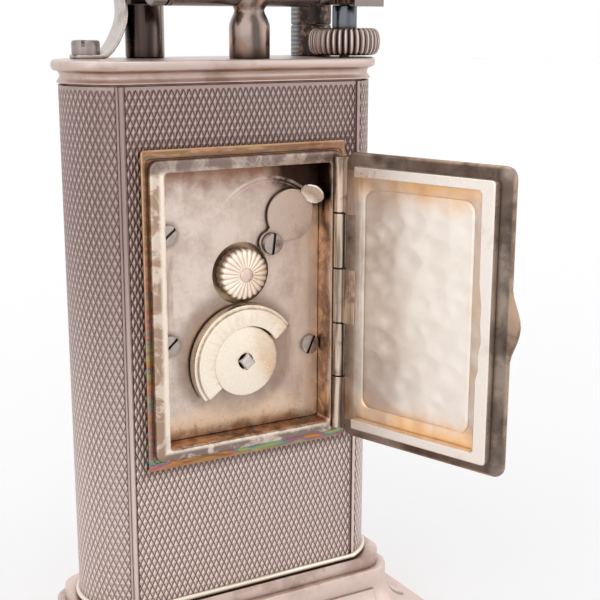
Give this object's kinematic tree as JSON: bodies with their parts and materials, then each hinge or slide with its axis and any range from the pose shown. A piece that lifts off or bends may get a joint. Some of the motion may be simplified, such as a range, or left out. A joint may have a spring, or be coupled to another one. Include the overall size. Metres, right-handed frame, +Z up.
{
  "type": "desk clock lighter",
  "caption": "Flat silver petrol lighter on a stepped foot, with a lifting snuffer arm, a thumb wheel, and a wound clock behind a hinged rear door.",
  "frame": {"origin": "middle of the flat underside of the foot, on the base plate", "axes": "+Z up, -Y towards the dial, +Y towards the rear winding door, +X towards the arm post"},
  "size_m": [0.054, 0.0457, 0.0878],
  "materials": {
    "body_silver": "engine-turned silver, tarnished",
    "foot_silver": "satin silver, tarnished",
    "cap_silver": "polished silver, brown tarnish in the cove",
    "case_silver": "pale silver with coloured tarnish at its edges",
    "door_silver": "pale silver, planished inside, dark margin",
    "cover_plate": "satin silver plate, brown stains in the corners",
    "nickel": "warm nickel plate",
    "oxidised": "dark oxidised silver",
    "arm_silver": "worn silver",
    "wheel_metal": "fluted, dark in the grooves",
    "spring_steel": "bright spring steel",
    "screw_steel": "grey steel",
    "brass": "plain brass",
    "tank_tin": "tinned sheet",
    "dial_card": "cream painted dial",
    "blued": "blued steel",
    "crystal_glass": "clear flat glass",
    "cotton": "cotton",
    "flint_stone": "dark flint alloy"
  },
  "bodies": {
    "lighter": {"base": "foot_silver", "base_plate": "foot_silver", "base_screw_left": "screw_steel", "base_screw_right": "screw_steel", "body_bottom": "foot_silver", "body_shell": "body_silver", "top_cap": "cap_silver", "fuel_tank": "tank_tin", "tank_packing": "cotton", "filler_washer": "cotton", "wick_guard": "oxidised", "wick": "cotton", "clock_case": "case_silver", "hinge_pin": "screw_steel", "movement_cover": "cover_plate", "cover_screw_right": "screw_steel", "cover_screw_upper": "screw_steel", "cover_screw_left": "screw_steel", "regulator_screw": "screw_steel", "movement_back_plate": "brass", "movement_front_plate": "brass", "dial": "dial_card", "front_bezel": "case_silver", "crystal": "crystal_glass", "arm_post": "oxidised", "arm_pin": "screw_steel", "arm_spring": "spring_steel", "arm_spring_screw": "spring_steel", "flint_tube": "arm_silver", "tube_post": "oxidised", "flint": "flint_stone", "flint_spring": "spring_steel"},
    "rear_door": {"door": "door_silver"},
    "lift_arm": {"snuffer_arm": "arm_silver", "snuffer_cap": "oxidised"},
    "spark_wheel": {"thumb_wheel": "wheel_metal", "striker_wheel": "screw_steel", "wheel_spindle": "screw_steel"},
    "flint_plug": {"flint_screw": "arm_silver"},
    "filler_plug": {"filler_screw": "foot_silver"},
    "minute_arbor": {"set_knob": "nickel", "centre_wheel": "brass", "cannon_pinion": "screw_steel", "minute_hand": "blued"},
    "hour_pipe": {"hour_wheel": "brass", "hour_hand": "blued"},
    "minute_work": {"minute_wheel": "brass"},
    "spring_barrel": {"mainspring_barrel": "brass", "mainspring": "spring_steel"},
    "third_arbor": {"third_wheel": "brass"},
    "balance": {"balance_wheel": "brass"},
    "winding_key": {"winding_arbor": "screw_steel", "winding_disc": "nickel", "ratchet_wheel": "screw_steel", "crescent_pin_1": "screw_steel", "crescent_pin_2": "screw_steel"},
    "key_grip": {"winding_crescent": "nickel"},
    "regulator_shutter": {"regulator_cover": "nickel"},
    "regulator_lever": {"regulator_index": "screw_steel"}
  },
  "joints": [
    {"name": "door_hinge", "type": "hinge", "parent": "lighter", "child": "rear_door", "pos_m": [-0.0116, 0.0081, 0.0471], "axis": [0, 0, 1], "range_deg": [-108.7, 6]},
    {"name": "arm_lift", "type": "hinge", "parent": "lighter", "child": "lift_arm", "pos_m": [0.0077, -0.004, 0.0847], "axis": [0, 1, 0], "range_deg": [0, 95]},
    {"name": "spark_spin", "type": "hinge", "parent": "lighter", "child": "spark_wheel", "pos_m": [-0.0154, 0.0026, 0.0769], "axis": [0, 0, 1], "continuous": true},
    {"name": "flint_screw_turn", "type": "hinge", "parent": "lighter", "child": "flint_plug", "pos_m": [0.009, 0.0026, 0.083], "axis": [1, 0, 0], "continuous": true},
    {"name": "filler_screw_turn", "type": "hinge", "parent": "lighter", "child": "filler_plug", "pos_m": [0.0085, 0, 0.0075], "axis": [0, 0, 1], "continuous": true},
    {"name": "set_turn", "type": "hinge", "parent": "lighter", "child": "minute_arbor", "pos_m": [0, 0.005, 0.0504], "axis": [0, 1, 0], "continuous": true},
    {"name": "hour_turn", "type": "hinge", "parent": "lighter", "child": "hour_pipe", "pos_m": [0, -0.004, 0.0504], "axis": [0, 1, 0], "continuous": true},
    {"name": "minute_wheel_turn", "type": "hinge", "parent": "lighter", "child": "minute_work", "pos_m": [0.0048, -0.003, 0.0456], "axis": [0, 1, 0], "continuous": true},
    {"name": "barrel_turn", "type": "hinge", "parent": "lighter", "child": "spring_barrel", "pos_m": [0, 0, 0.0399], "axis": [0, 1, 0], "continuous": true},
    {"name": "third_wheel_turn", "type": "hinge", "parent": "lighter", "child": "third_arbor", "pos_m": [0.005, 0, 0.05788], "axis": [0, 1, 0], "continuous": true},
    {"name": "balance_swing", "type": "hinge", "parent": "lighter", "child": "balance", "pos_m": [-0.0065, 0, 0.0569], "axis": [0, 1, 0], "range_deg": [-135, 135], "stiffness_Nm_per_rad": 0.000001},
    {"name": "key_turn", "type": "hinge", "parent": "lighter", "child": "winding_key", "pos_m": [0, 0.005, 0.0399], "axis": [0, 1, 0], "continuous": true},
    {"name": "grip_fold", "type": "hinge", "parent": "winding_key", "child": "key_grip", "pos_m": [0, 0.00545, 0.0399], "axis": [-0.8192, 0, 0.5736], "range_deg": [0, 90]},
    {"name": "regulator_swing", "type": "hinge", "parent": "lighter", "child": "regulator_shutter", "pos_m": [-0.0038, 0.0052, 0.0537], "axis": [0, 1, 0], "range_deg": [0, 80]},
    {"name": "regulator_lever_turn", "type": "hinge", "parent": "lighter", "child": "regulator_lever", "pos_m": [-0.0065, 0.0036, 0.0569], "axis": [0, 1, 0], "range_deg": [-20, 20]}
  ],
  "couplings": [
    {"joint": "hour_turn", "follows": "set_turn", "ratio": 0.083333},
    {"joint": "minute_wheel_turn", "follows": "set_turn", "ratio": -0.33333},
    {"joint": "barrel_turn", "follows": "set_turn", "ratio": -0.25},
    {"joint": "third_wheel_turn", "follows": "set_turn", "ratio": -5}
  ]
}
